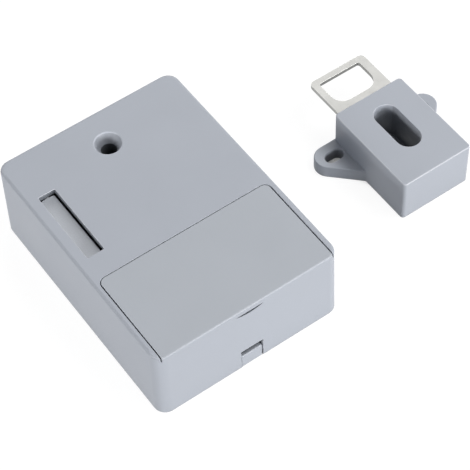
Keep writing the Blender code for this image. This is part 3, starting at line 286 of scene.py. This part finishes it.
caseGrey = (0.429, 0.456, 0.509)
caseEdge = (0.66, 0.69, 0.75)
paleEdge = (0.70, 0.73, 0.78)
# painted highlight colour for the edges of the block, the rims and the lid
highlightEdge = (0.74, 0.76, 0.81)
shearLines = (5000.0, 5000.0, 900.0)
finishes = {
    # painted shade: recess tone 0.4 darkens the case in deep recesses
    "case": plasticFinish("casePlastic", caseGrey, caseEdge, lift=0.06, recess=0.4),
    # painted shade: darker tone for the slot's side walls
    "slot": plasticFinish("slotPlastic", (0.19, 0.205, 0.23), (0.3, 0.32, 0.35), lift=0.1),
    # painted shade: darker tone for the rounding along the top's left edge
    "crease": plasticFinish("creasePlastic", (0.38, 0.405, 0.452), (0.5, 0.53, 0.58), lift=0.06),
    # painted highlight: paler tone for the screw hole's rim
    "lip": plasticFinish("lipPlastic", (0.46, 0.488, 0.54), paleEdge, lift=0.06),
    # painted shade: dark tone deep in the screw hole, darkened further in recesses
    "bore": plasticFinish("borePlastic", (0.14, 0.149, 0.166), (0.25, 0.26, 0.29), lift=0.1, recess=0.5),
    # painted highlight on the block's edges and painted shade in its recesses
    "block": plasticFinish("blockPlastic", caseGrey, highlightEdge, lift=0.5, recess=0.4),
    # painted light: paler tone for the left ear's top, with painted shade in recesses
    "ear": plasticFinish("earPlastic", (0.54, 0.57, 0.625), paleEdge, recess=0.4),
    # painted shade: darker tone for the strike well's walls and the screw hole's cone
    "well": plasticFinish("wellPlastic", (0.33, 0.35, 0.39), (0.5, 0.52, 0.56), recess=0.45),
    # painted highlight: paler tone for rims and edges, and painted light on the window's right side
    "rim": plasticFinish("rimPlastic", (0.56, 0.58, 0.63), highlightEdge, lift=0.5),
    # painted highlight on the lid's edges
    "lid": plasticFinish("lidPlastic", (0.436, 0.463, 0.506), highlightEdge, lift=0.45),
    "foot": plasticFinish("footPlastic", caseGrey, caseEdge, grain=2600.0, bump=0.2),
    # painted light: the ejector is paler than the case to offset the shade of its slot
    "ejector": plasticFinish("ejectorPlastic", (0.58, 0.605, 0.65), (0.68, 0.70, 0.74), grain=2600.0,
                             grainTone=0.06, bump=0.3),
    "pale": plasticFinish("paleNylon", (0.78, 0.78, 0.75), (0.9, 0.9, 0.88), grain=3000.0),
    "dark": plasticFinish("darkNylon", (0.035, 0.035, 0.038), (0.12, 0.12, 0.125), grain=3000.0, drift=0.1,
                          rough=0.42),
    "jacket": plasticFinish("cellJacket", (0.018, 0.022, 0.03), (0.08, 0.09, 0.1), rough=0.28, gloss=0.6,
                            bump=0.04),
    "band": plasticFinish("cellBand", (0.50, 0.25, 0.10), (0.7, 0.42, 0.2), rough=0.3, gloss=0.6, bump=0.04),
    "mark": plasticFinish("cellMark", (0.80, 0.80, 0.78), (0.85, 0.85, 0.83), rough=0.3, bump=0.04),
    # painted highlight: strong edge lift gives the tongue's edges a thin pale line
    "steel": metalFinish("tongueSteel", (0.515, 0.513, 0.495), (0.72, 0.72, 0.70), (900.0, 9000.0, 9000.0),
                         drift=0.05, lift=0.7, reach=0.4 * mm, rough=0.32),
    # darker tone for the tongue's sides and window walls: partly duller sheared steel, partly painted shade
    "sideSteel": metalFinish("sidedSteel", (0.38, 0.38, 0.37), (0.6, 0.6, 0.585), shearLines, drift=0.15,
                             rough=0.45),
    "cutSteel": metalFinish("shearedSteel", (0.32, 0.32, 0.31), (0.46, 0.46, 0.445), shearLines, drift=0.2,
                            rough=0.5),
    "spring": metalFinish("springSteel", (0.60, 0.60, 0.61), (0.8, 0.8, 0.8), (4000.0, 4000.0, 4000.0),
                          rough=0.25),
    "contact": metalFinish("contactPlate", (0.66, 0.65, 0.61), (0.85, 0.84, 0.8), (9000.0, 400.0, 9000.0)),
    "screw": metalFinish("screwZinc", (0.60, 0.61, 0.63), (0.82, 0.83, 0.85), shearLines, rough=0.34),
    "bolt": metalFinish("boltZinc", (0.56, 0.56, 0.57), (0.8, 0.8, 0.8), (400.0, 8000.0, 8000.0), rough=0.4,
                        spread=0.1),
    "brass": metalFinish("drawnBrass", (0.74, 0.55, 0.24), (0.9, 0.74, 0.42), (8000.0, 800.0, 800.0)),
    "can": metalFinish("motorCan", (0.66, 0.66, 0.65), (0.85, 0.85, 0.84), (300.0, 6000.0, 6000.0)),
    "copper": metalFinish("coilCopper", (0.72, 0.38, 0.20), (0.9, 0.6, 0.4), (7000.0, 7000.0, 400.0),
                          drift=0.2),
    "board": plasticFinish("boardMask", (0.02, 0.15, 0.06), (0.1, 0.3, 0.16), grain=900.0, grainTone=0.25,
                           drift=0.1, rough=0.35),
    "red": plasticFinish("redLead", (0.50, 0.03, 0.025), (0.6, 0.1, 0.09), rough=0.4),
    "black": plasticFinish("blackLead", (0.02, 0.02, 0.021), (0.07, 0.07, 0.07), rough=0.4),
}
print("finishes made:", len(finishes))

# Mesh helpers, with lengths to weld at and angles in degrees
meshWork = {"weld": 0.002 * mm, "speck": 0.001 * mm, "flatAngle": 0.3, "edgeAngle": 38.0, "sharpAngle": 50}


def addPiece(shape, name, body, looks, nodes, sharp=meshWork["sharpAngle"]):
    shape.normal_update()
    for face in shape.faces:
        face.smooth = True
    for edge in shape.edges:
        edge.smooth = edge.calc_face_angle(0.0) < math.radians(sharp)
    mesh = bpy.data.meshes.new(name)
    shape.to_mesh(mesh)
    shape.free()
    for look in looks:
        mesh.materials.append(finishes[look])
    piece = addObject(name, mesh)
    evenOut = piece.modifiers.new("evenOut", "WEIGHTED_NORMAL")
    evenOut.keep_sharp = True
    depsgraph = bpy.context.evaluated_depsgraph_get()
    settled = bpy.data.meshes.new_from_object(piece.evaluated_get(depsgraph), preserve_all_data_layers=True,
                                              depsgraph=depsgraph)
    piece.modifiers.clear()
    piece.data = settled
    settled.name = name
    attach(piece, body)
    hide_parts(*nodes)
    return piece


def nodeShape(node):
    # the CAD solid as a clean mesh: welded, with its flat faces whole again
    source = frame["nodes"][node]
    shape = bmesh.new()
    shape.from_mesh(source.data)
    shape.transform(source.matrix_world)
    bmesh.ops.remove_doubles(shape, verts=shape.verts, dist=meshWork["weld"])
    bmesh.ops.dissolve_limit(shape, angle_limit=math.radians(meshWork["flatAngle"]), verts=shape.verts,
                             edges=shape.edges)
    return shape


def breakEdges(shape, width, steps=2, within=None, leave=None):
    # round the outer edges: only those within one region, or all but those to leave sharp
    least = math.radians(meshWork["edgeAngle"])
    picked = [edge for edge in shape.edges
              if len(edge.link_faces) == 2 and edge.is_convex and edge.calc_face_angle(0.0) > least
              and (within is None or all(within(vert.co) for vert in edge.verts))
              and (leave is None or not all(leave(vert.co) for vert in edge.verts))]
    bmesh.ops.bevel(shape, geom=picked, offset=width, offset_type="OFFSET", segments=steps, profile=0.5,
                    affect="EDGES", clamp_overlap=False)
    bmesh.ops.remove_doubles(shape, verts=shape.verts, dist=meshWork["weld"])
    bmesh.ops.dissolve_degenerate(shape, edges=shape.edges, dist=meshWork["speck"])


def addCut(shape, place, across):
    bmesh.ops.bisect_plane(shape, geom=[*shape.verts, *shape.edges, *shape.faces], dist=meshWork["speck"],
                           plane_co=place, plane_no=across)


def pickLooks(shape, looks, choose):
    # a finish for every face, by its place and the way it faces
    shape.normal_update()
    for face in shape.faces:
        face.material_index = looks.index(choose(face.calc_center_median(), face.normal))


def dressNode(node, name, body, look, width, steps=2):
    shape = nodeShape(node)
    breakEdges(shape, width, steps)
    addPiece(shape, name, body, [look], [node])


# Lock case, lid and foot; the last row is how far a normal leans on a bevel, a wall and so on
caseWork = {"edge": 0.14 * mm, "lidEdge": 0.16 * mm, "footEdge": 0.12 * mm,
            "ringLevels": (3.0 * mm, 25.7 * mm), "lipGap": 0.02 * mm, "nickHalf": 5.02 * mm,
            "seam": (27.3 * mm, 27.5 * mm), "seamDeep": 1.6 * mm, "slack": 0.1 * mm, "cutPast": 0.01 * mm,
            "slotX": (-28.98 * mm, -22.62 * mm), "slotY": (-1.98 * mm, 26.38 * mm), "slotLow": 26.0 * mm,
            "hole": (0.3 * mm, 31.6 * mm), "holeRadius": 4.8 * mm, "lipDeep": 0.4 * mm, "boreTop": 3.45 * mm,
            "rim": 0.45 * mm, "creaseDeep": 0.9 * mm,
            "windowSide": (4.0 * mm, 4.4 * mm), "windowTop": 8.1 * mm,
            "bevel": (0.3, 0.97), "wall": 0.3, "lean": 0.2, "aside": 0.7, "front": 0.9}


def onFrontSeam(point):
    low, high = caseWork["seam"]
    slack = caseWork["slack"]
    return point.y < cadBox[0][1] + caseWork["seamDeep"] and low - slack < point.z < high + slack


def onNick(point):
    return (abs(point.x) < caseWork["nickHalf"] and point.y < cadBox[0][1] + caseWork["seamDeep"]
            and point.z > caseWork["ringLevels"][1] + caseWork["slack"])


def makeCaseShell(v):
    looks = ["case", "slot", "well", "bore", "rim", "crease", "lip"]
    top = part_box("housing")[1][2]

    def choose(spot, facing):
        # openings have painted highlights on their edges and painted shade on their sides; painted light
        # makes the window's right side pale and painted shade makes the top's left edge darker
        deep = top - spot.z
        inSlot = (v["slotX"][0] < spot.x < v["slotX"][1] and v["slotY"][0] < spot.y < v["slotY"][1]
                  and spot.z > v["slotLow"])
        inHole = math.dist(spot.xy, v["hole"]) < v["holeRadius"]
        atWindow = v["windowSide"][0] < spot.x < v["windowSide"][1] and spot.z < v["windowTop"]
        onBevel = v["bevel"][0] < facing.z < v["bevel"][1]
        if (inSlot or inHole) and deep < v["rim"] and onBevel:
            return "rim" if inSlot else "lip"
        if atWindow and facing.x < -v["aside"]:
            return "rim"
        if inSlot and abs(facing.z) < v["wall"]:
            return "slot"
        if inHole and deep > v["lipDeep"] and facing.z > -v["wall"]:
            return "well" if deep < v["boreTop"] else "bore"
        if deep < v["creaseDeep"] and facing.x < -v["lean"] and onBevel:
            return "crease"
        return "case"

    shape = nodeShape("housing")
    for level in v["ringLevels"]:   # rings round the walls keep the shading of the tall corners even
        addCut(shape, (0, 0, level), (0, 0, 1))
    breakEdges(shape, v["edge"], leave=lambda point: onFrontSeam(point) or onNick(point))
    pickLooks(shape, looks, choose)
    addPiece(shape, "caseShell", "lock", looks, ["housing"])


def makeBatteryLid(v):
    # a lip at the front reaches down over the seam, in the case's own tone
    looks = ["lid", "case"]
    shape = nodeShape("battery_cover")
    addCut(shape, (0, cadBox[0][1] + v["seamDeep"] + v["cutPast"], 0), (0, 1, 0))
    for vert in shape.verts:
        if onFrontSeam(vert.co):
            vert.co.z = v["seam"][0] + v["lipGap"]
    breakEdges(shape, v["lidEdge"], leave=onFrontSeam)
    pickLooks(shape, looks, lambda spot, facing: "case" if facing.y < -v["front"] else "lid")
    addPiece(shape, "batteryLid", "cover", looks, ["battery_cover"])


makeCaseShell(caseWork)
makeBatteryLid(caseWork)
dressNode("base_plate", "footPlate", "lock", "foot", caseWork["footEdge"])
print("case done")

# Ejector, latch bolt and set button
moverWork = {"ejectorEdge": 0.25 * mm, "ejectorSteps": 3, "boltEdge": 0.2 * mm, "buttonEdge": 0.15 * mm}
dressNode("ejector", "ejectorBar", "ejector", "ejector", moverWork["ejectorEdge"],
          moverWork["ejectorSteps"])
dressNode("latch_bolt", "latchBolt", "bolt", "bolt", moverWork["boltEdge"])
dressNode("set_button", "setButton", "button", "dark", moverWork["buttonEdge"])
print("movers done")

# Strike
strikeWork = {"blockEdge": 0.16 * mm, "earTop": (4.7 * mm, 4.9 * mm), "earEdge": 0.45 * mm, "earSteps": 3,
              "rim": 0.7 * mm, "wellHalf": 6.0 * mm, "wellY": (-17.0 * mm, -1.6 * mm),
              "bevel": (0.2, 0.97), "wall": 0.3, "lean": 0.2, "flat": 0.8}
tongueWork = {"edge": 0.08 * mm, "frame": 0.6 * mm, "side": 0.5}


def makeStrikeBlock(v):
    looks = ["block", "ear", "rim", "well"]
    low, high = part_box("strike_block")
    middle = (low[0] + high[0]) / 2

    def onEarTop(point):
        return v["earTop"][0] < point.z < v["earTop"][1]

    def choose(spot, facing):
        # painted light makes the left ear pale on top; painted highlights pale the front, left and right of
        # the block's top and the left and near edges of the well, whose walls get painted shade
        onRim = spot.z > high[2] - v["rim"] and v["bevel"][0] < facing.z < v["bevel"][1]
        inWell = abs(spot.x - middle) < v["wellHalf"] and v["wellY"][0] < spot.y < v["wellY"][1]
        if facing.z > v["flat"] and onEarTop(spot) and spot.x < middle:
            return "ear"
        if onRim and not inWell and (spot.y < low[1] + v["rim"] or abs(facing.x) > v["lean"]):
            return "rim"
        if onRim and inWell and max(facing.x, facing.y) > v["lean"]:
            return "rim"
        if inWell and abs(facing.z) < v["wall"]:
            return "well"
        return "block"

    shape = nodeShape("strike_block")
    breakEdges(shape, v["blockEdge"], leave=onEarTop)
    breakEdges(shape, v["earEdge"], v["earSteps"], within=onEarTop)   # softer than the block's edges
    pickLooks(shape, looks, choose)
    addPiece(shape, "strikeBlock", "strike", looks, ["strike_block"])


def makeTongue(v):
    looks = ["steel", "cutSteel", "sideSteel"]
    low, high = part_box("strike_tongue")

    def choose(spot, facing):
        # the window's punched walls and the outer sides are darker than the rolled faces, partly as duller
        # sheared steel and partly as painted shade
        inside = (low[0] + v["frame"] < spot.x < high[0] - v["frame"]
                  and low[1] + v["frame"] < spot.y < high[1] - v["frame"])
        if abs(facing.z) < v["side"]:
            return "cutSteel" if inside else "sideSteel"
        return "steel"

    shape = nodeShape("strike_tongue")
    breakEdges(shape, v["edge"])
    pickLooks(shape, looks, choose)
    addPiece(shape, "strikeTongue", "strike", looks, ["strike_tongue"])


makeStrikeBlock(strikeWork)
makeTongue(tongueWork)
print("strike done")

# Screws and contacts, by the word their piece names start with
smallWork = {
    "foot": {"nodes": ("base_screw_left", "base_screw_right"),
             "body": "lock", "slot": "screw_steel", "look": "screw", "edge": 0.08 * mm},
    "strike": {"nodes": ("tongue_screw_left", "tongue_screw_right"),
               "body": "strike", "slot": "screw_steel", "look": "screw", "edge": 0.08 * mm},
    "battery": {"nodes": ("contact_negative", "contact_positive", "contact_bridge_left",
                          "contact_bridge_right"),
                "body": "lock", "slot": "contact_plate", "look": "contact", "edge": 0.06 * mm},
}
for word, small in smallWork.items():
    for node in small["nodes"]:
        dressNode(node, word + node.title().replace("_", ""), small["body"], small["look"],
                  small["edge"])
print("screws and contacts done")

# Battery cells: jacket with a coloured end, crimped ends, raised cap
cellWork = {"radius": 5.1 * mm, "sides": 48, "band": 0.74, "crimp": 0.45 * mm, "crimpSteps": 3,
            "rim": 0.9 * mm, "rimStep": 0.02 * mm, "sink": 0.25 * mm,
            "capRadius": 2.8 * mm, "capSlope": 0.3 * mm,
            "nub": 1.0 * mm, "nubRadius": 1.9 * mm, "nubFoot": (0.15 * mm, 0.05 * mm), "nubRound": 0.2 * mm,
            "mark": 0.66 * mm, "markCells": 5, "markAt": 4.0 * mm, "hair": 1e-9, "sharp": 40}


def cellRings(v, length):
    # (radius, height, finish of the ring that follows) from the flat end to the nub
    radius, crimp, nub = v["radius"], v["crimp"], v["nubRadius"]
    inner, shoulder = radius - v["rim"], length - v["nub"]
    turns = [math.pi / 2 * i / v["crimpSteps"] for i in range(v["crimpSteps"] + 1)]
    rings = [(0.0, v["sink"], "contact"), (inner, v["sink"], "contact"), (inner, v["rimStep"], "jacket")]
    rings += [(radius - crimp + crimp * math.sin(turn), crimp * (1 - math.cos(turn)), "jacket")
              for turn in turns]
    split = shoulder * v["band"]
    minusAt = v["markAt"]
    plusAt = shoulder - v["markAt"] - v["mark"] * v["markCells"]
    stops = [minusAt + v["mark"] * i for i in range(v["markCells"] + 1)]
    stops += [split] + [plusAt + v["mark"] * i for i in range(v["markCells"] + 1)]
    rings += [(radius, stop, "band" if stop > split - v["hair"] else "jacket") for stop in stops]
    rings += [(radius - crimp + crimp * math.cos(turn), shoulder - crimp + crimp * math.sin(turn), "band")
              for turn in turns]
    rings += [(inner, shoulder - v["rimStep"], "band"), (inner, shoulder - v["sink"], "dark"),
              (v["capRadius"], shoulder - v["sink"], "contact"),
              (v["capRadius"] - v["capSlope"], shoulder, "contact"),
              (nub + v["nubFoot"][0], shoulder + v["nubFoot"][1], "contact"),
              (nub, shoulder + v["nubRound"], "contact"), (nub, length - v["nubRound"], "contact"),
              (nub - v["nubRound"], length, "contact"), (0.0, length, "contact")]
    return rings, minusAt, plusAt


def onJacket(rings, index, v):
    return all(abs(ring[0] - v["radius"]) < v["hair"] for ring in rings[index:index + 2])


def onMark(along, across, plus, v):
    # one bar across the jacket for minus, a second along it for plus
    middle = v["markCells"] // 2
    inside = 0 <= along < v["markCells"] and abs(across) <= middle
    return inside and (along == middle or (plus and across == 0))


def makeCell(node, name, tipRight, v):
    looks = ["jacket", "band", "contact", "mark", "dark"]
    low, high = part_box(node)
    rings, minusAt, plusAt = cellRings(v, high[0] - low[0])
    shape = bmesh.new()
    sides = v["sides"]
    start = low[0] if tipRight else high[0]
    way = 1 if tipRight else -1
    centreY, centreZ = (low[1] + high[1]) / 2, (low[2] + high[2]) / 2
    rows = []
    for ringRadius, height, _ in rings:
        if ringRadius == 0.0:
            rows.append([shape.verts.new((start + way * height, centreY, centreZ))])
            continue
        row = []
        for i in range(sides):
            turn = 2 * math.pi * (i + 0.5) / sides
            row.append(shape.verts.new((start + way * height, centreY + ringRadius * math.sin(turn) * way,
                                        centreZ + ringRadius * math.cos(turn))))
        rows.append(row)
    for index, (lower, upper) in enumerate(zip(rows, rows[1:])):
        height, finish = rings[index][1:]
        for i in range(sides):
            j = (i + 1) % sides
            if len(lower) == 1:
                corners = (lower[0], upper[j], upper[i])
            elif len(upper) == 1:
                corners = (lower[i], lower[j], upper[0])
            else:
                corners = (lower[i], lower[j], upper[j], upper[i])
            across = i - (sides - 1) if i > sides // 2 else i + 1   # facets left and right of the top
            marked = onJacket(rings, index, v) and any(
                onMark(round((height - at) / v["mark"]), across, plus, v)
                for at, plus in ((minusAt, False), (plusAt, True)))
            shape.faces.new(corners).material_index = looks.index("mark" if marked else finish)
    bmesh.ops.recalc_face_normals(shape, faces=shape.faces)
    addPiece(shape, name, "lock", looks, [node], v["sharp"])


for place, tipRight in (("front", True), ("middle", False), ("back", True)):
    makeCell("battery_cell_" + place, "cell" + place.title(), tipRight, cellWork)
print("cells done")

# Coil springs in one unbroken wire, with closed end turns, whose pitch is in wire radii
springWork = {"wire": 0.3 * mm, "sides": 10, "perTurn": 28, "endTurns": 0.75, "endPitch": 2.2, "sharp": 60,
              "batteryTurns": 3.0, "batteryWide": 3.5 * mm, "batteryNarrow": 2.2 * mm,
              "ejectorTurns": 7.0, "ejectorRadius": 1.65 * mm, "keep": 0.26}


def sweepWire(points, radius, sides):
    shape = bmesh.new()
    rows = []
    side = None
    for i, point in enumerate(points):
        ahead = (points[min(i + 1, len(points) - 1)] - points[max(i - 1, 0)]).normalized()
        if side is None:
            side = ahead.orthogonal().normalized()
        side = (side - ahead * side.dot(ahead)).normalized()
        other = ahead.cross(side)
        rows.append([shape.verts.new(point + radius * (side * math.cos(2 * math.pi * k / sides)
                                                       + other * math.sin(2 * math.pi * k / sides)))
                     for k in range(sides)])
    for lower, upper in zip(rows, rows[1:]):
        for k in range(sides):
            shape.faces.new((lower[k], lower[(k + 1) % sides], upper[(k + 1) % sides], upper[k]))
    shape.faces.new(list(reversed(rows[0])))
    shape.faces.new(rows[-1])
    bmesh.ops.recalc_face_normals(shape, faces=shape.faces)
    return shape


def coilPoints(foot, along, height, turns, wide, narrow, v):
    # the wire lies nearly flat for part of a turn at each end, then climbs evenly
    across = along.orthogonal().normalized()
    other = along.cross(across)
    count = int(turns * v["perTurn"])
    flat = v["endTurns"] / turns
    pitch = v["endPitch"] * v["wire"]
    points = []
    for i in range(count + 1):
        share = i / count
        if share < flat:
            climb = pitch * share / flat * v["endTurns"]
        elif share > 1 - flat:
            climb = height - 2 * v["wire"] - pitch * (1 - share) / flat * v["endTurns"]
        else:
            ends = pitch * v["endTurns"]
            climb = ends + (height - 2 * v["wire"] - 2 * ends) * (share - flat) / (1 - 2 * flat)
        turn = 2 * math.pi * turns * share
        radius = wide + (narrow - wide) * share
        points.append(foot + along * (v["wire"] + climb)
                      + radius * (across * math.cos(turn) + other * math.sin(turn)))
    return points


def addSpring(points, node, name, v):
    shape = sweepWire(points, v["wire"], v["sides"])
    return addPiece(shape, name, "lock", ["spring"], [node], v["sharp"])


def makeSprings(v):
    for place, fromLeft in (("front", True), ("middle", False), ("back", True)):
        node = "battery_spring_" + place
        low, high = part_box(node)
        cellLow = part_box("battery_cell_" + place)[0]
        foot = Vector((low[0] if fromLeft else high[0], cellLow[1] + cellWork["radius"],
                       cellLow[2] + cellWork["radius"]))
        along = Vector((1.0 if fromLeft else -1.0, 0.0, 0.0))
        points = coilPoints(foot, along, high[0] - low[0], v["batteryTurns"], v["batteryWide"],
                            v["batteryNarrow"], v)
        addSpring(points, node, "cellSpring" + place.title(), v)
    barLow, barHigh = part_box("ejector")
    for place in ("near", "far"):
        node = "ejector_spring_" + place
        low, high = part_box(node)
        foot = Vector(((barLow[0] + barHigh[0]) / 2, (low[1] + high[1]) / 2, low[2]))
        points = coilPoints(foot, Vector((0.0, 0.0, 1.0)), high[2] - low[2], v["ejectorTurns"],
                            v["ejectorRadius"], v["ejectorRadius"], v)
        piece = addSpring(points, node, "ejectorSpring" + place.title(), v)
        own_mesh(piece)


makeSprings(springWork)
print("springs done")

# Inner work keeps its CAD shape and takes the finish of its slot
slotLooks = {"case_plastic": "case", "ejector_plastic": "ejector", "inner_plastic": "pale",
             "dark_plastic": "dark", "cell_jacket": "jacket", "spring_wire": "spring",
             "contact_plate": "contact", "tongue_steel": "steel", "screw_steel": "screw", "bolt_zinc": "bolt",
             "screw_brass": "brass", "motor_can": "can", "coil_copper": "copper", "board": "board",
             "red_lead": "red", "black_lead": "black"}
for part in frame["record"]["subparts"]:
    inner = frame["nodes"][part["node"]]
    for materialSlot in inner.material_slots:
        materialSlot.link = "OBJECT"
        materialSlot.material = finishes[slotLooks[part["material_slot"]]]
print("inner work dressed")

# Floor and light
stageWork = {"half": 3.0, "drop": 0.05 * mm, "color": (0.35, 0.35, 0.35, 1),
             "seenColor": (0.15, 0.15, 0.15, 1), "white": (1, 1, 1, 1), "glow": 0.92, "world": 0.042,
             "recess": 6.0 * mm, "recessSamples": 8, "recessSpan": (0.24, 0.44), "recessGlow": 0.12}


def seenDirectly(tree):
    path = tree.nodes.new("ShaderNodeLightPath").outputs
    return calc(tree, "MAXIMUM", calc(tree, "MAXIMUM", path["Is Camera Ray"], path["Is Glossy Ray"]),
                path["Is Transmission Ray"])


def makeFloor(v):
    shape = bmesh.new()
    corners = ((-1, -1), (1, -1), (1, 1), (-1, 1))
    shape.faces.new([shape.verts.new((x * v["half"], y * v["half"], -v["drop"])) for x, y in corners])
    mesh = bpy.data.meshes.new("floor")
    shape.to_mesh(mesh)
    shape.free()
    floor = addObject("floor", mesh)
    look = bpy.data.materials.new("paleFloor")
    look.use_nodes = True
    tree = look.node_tree
    tree.nodes.clear()
    seen = seenDirectly(tree)
    tone = mixColor(tree, seen, v["color"], v["seenColor"])
    matte = putNode(tree, "ShaderNodeBsdfDiffuse", {"Color": tone})
    # painted shade: the floor's own white fades only where a deep recess stands over it
    openness = putNode(tree, "ShaderNodeAmbientOcclusion", {"Distance": v["recess"]},
                       samples=v["recessSamples"]).outputs["AO"]
    shown = calc(tree, "MULTIPLY", seen, remap(tree, openness, *v["recessSpan"], v["recessGlow"], 1.0))
    glow = putNode(tree, "ShaderNodeEmission",
                   {"Color": v["white"], "Strength": calc(tree, "MULTIPLY", shown, v["glow"])})
    both = putNode(tree, "ShaderNodeAddShader", {0: matte.outputs[0], 1: glow.outputs[0]})
    putNode(tree, "ShaderNodeOutputMaterial", {"Surface": both.outputs[0]})
    mesh.materials.append(look)


def makeWorld(v):
    world = bpy.data.worlds.new("studio")
    world.use_nodes = True
    tree = world.node_tree
    back = tree.nodes["Background"]
    tree.links.new(remap(tree, seenDirectly(tree), 0.0, 1.0, v["world"], 1.0), back.inputs["Strength"])
    back.inputs["Color"].default_value = v["white"]
    scene.world = world


lamps = {
    "topSoft": {"place": (0.55, -0.3, 1.0), "aim": (0.035, 0, 0), "size": (0.6, 0.6), "power": 6.9},
    "frontSoft": {"place": (0.4, -1.2, 0.25), "aim": (0.035, 0, 0.01), "size": (0.7, 0.35), "power": 12.4},
    "leftSoft": {"place": (-1.0, 0.0, 0.36), "aim": (0, 0, 0.01), "size": (0.4, 0.25), "power": 5.7},
    "cornerSoft": {"place": (-0.8, -0.85, 0.28), "aim": (0.05, 0, 0.01), "size": (0.4, 0.25), "power": 2.4},
    "backSoft": {"place": (0.75, 0.95, 0.5), "aim": (0.035, 0, 0.01), "size": (0.6, 0.4), "power": 5.3},
    "farSoft": {"place": (-0.2, 1.1, 0.45), "aim": (0.035, 0, 0.01), "size": (0.6, 0.3), "power": 1.1},
}


def addLamp(name, v):
    data = bpy.data.lights.new(name, "AREA")
    data.shape = "RECTANGLE"
    data.size, data.size_y = v["size"]
    data.energy = v["power"]
    lamp = addObject(name, data)
    lamp.location = v["place"]
    lamp.rotation_mode = "QUATERNION"
    lamp.rotation_quaternion = (Vector(v["aim"]) - Vector(v["place"])).to_track_quat("-Z", "Y")


makeFloor(stageWork)
makeWorld(stageWork)
for lampName, lampValues in lamps.items():
    addLamp(lampName, lampValues)
print("floor and light set")
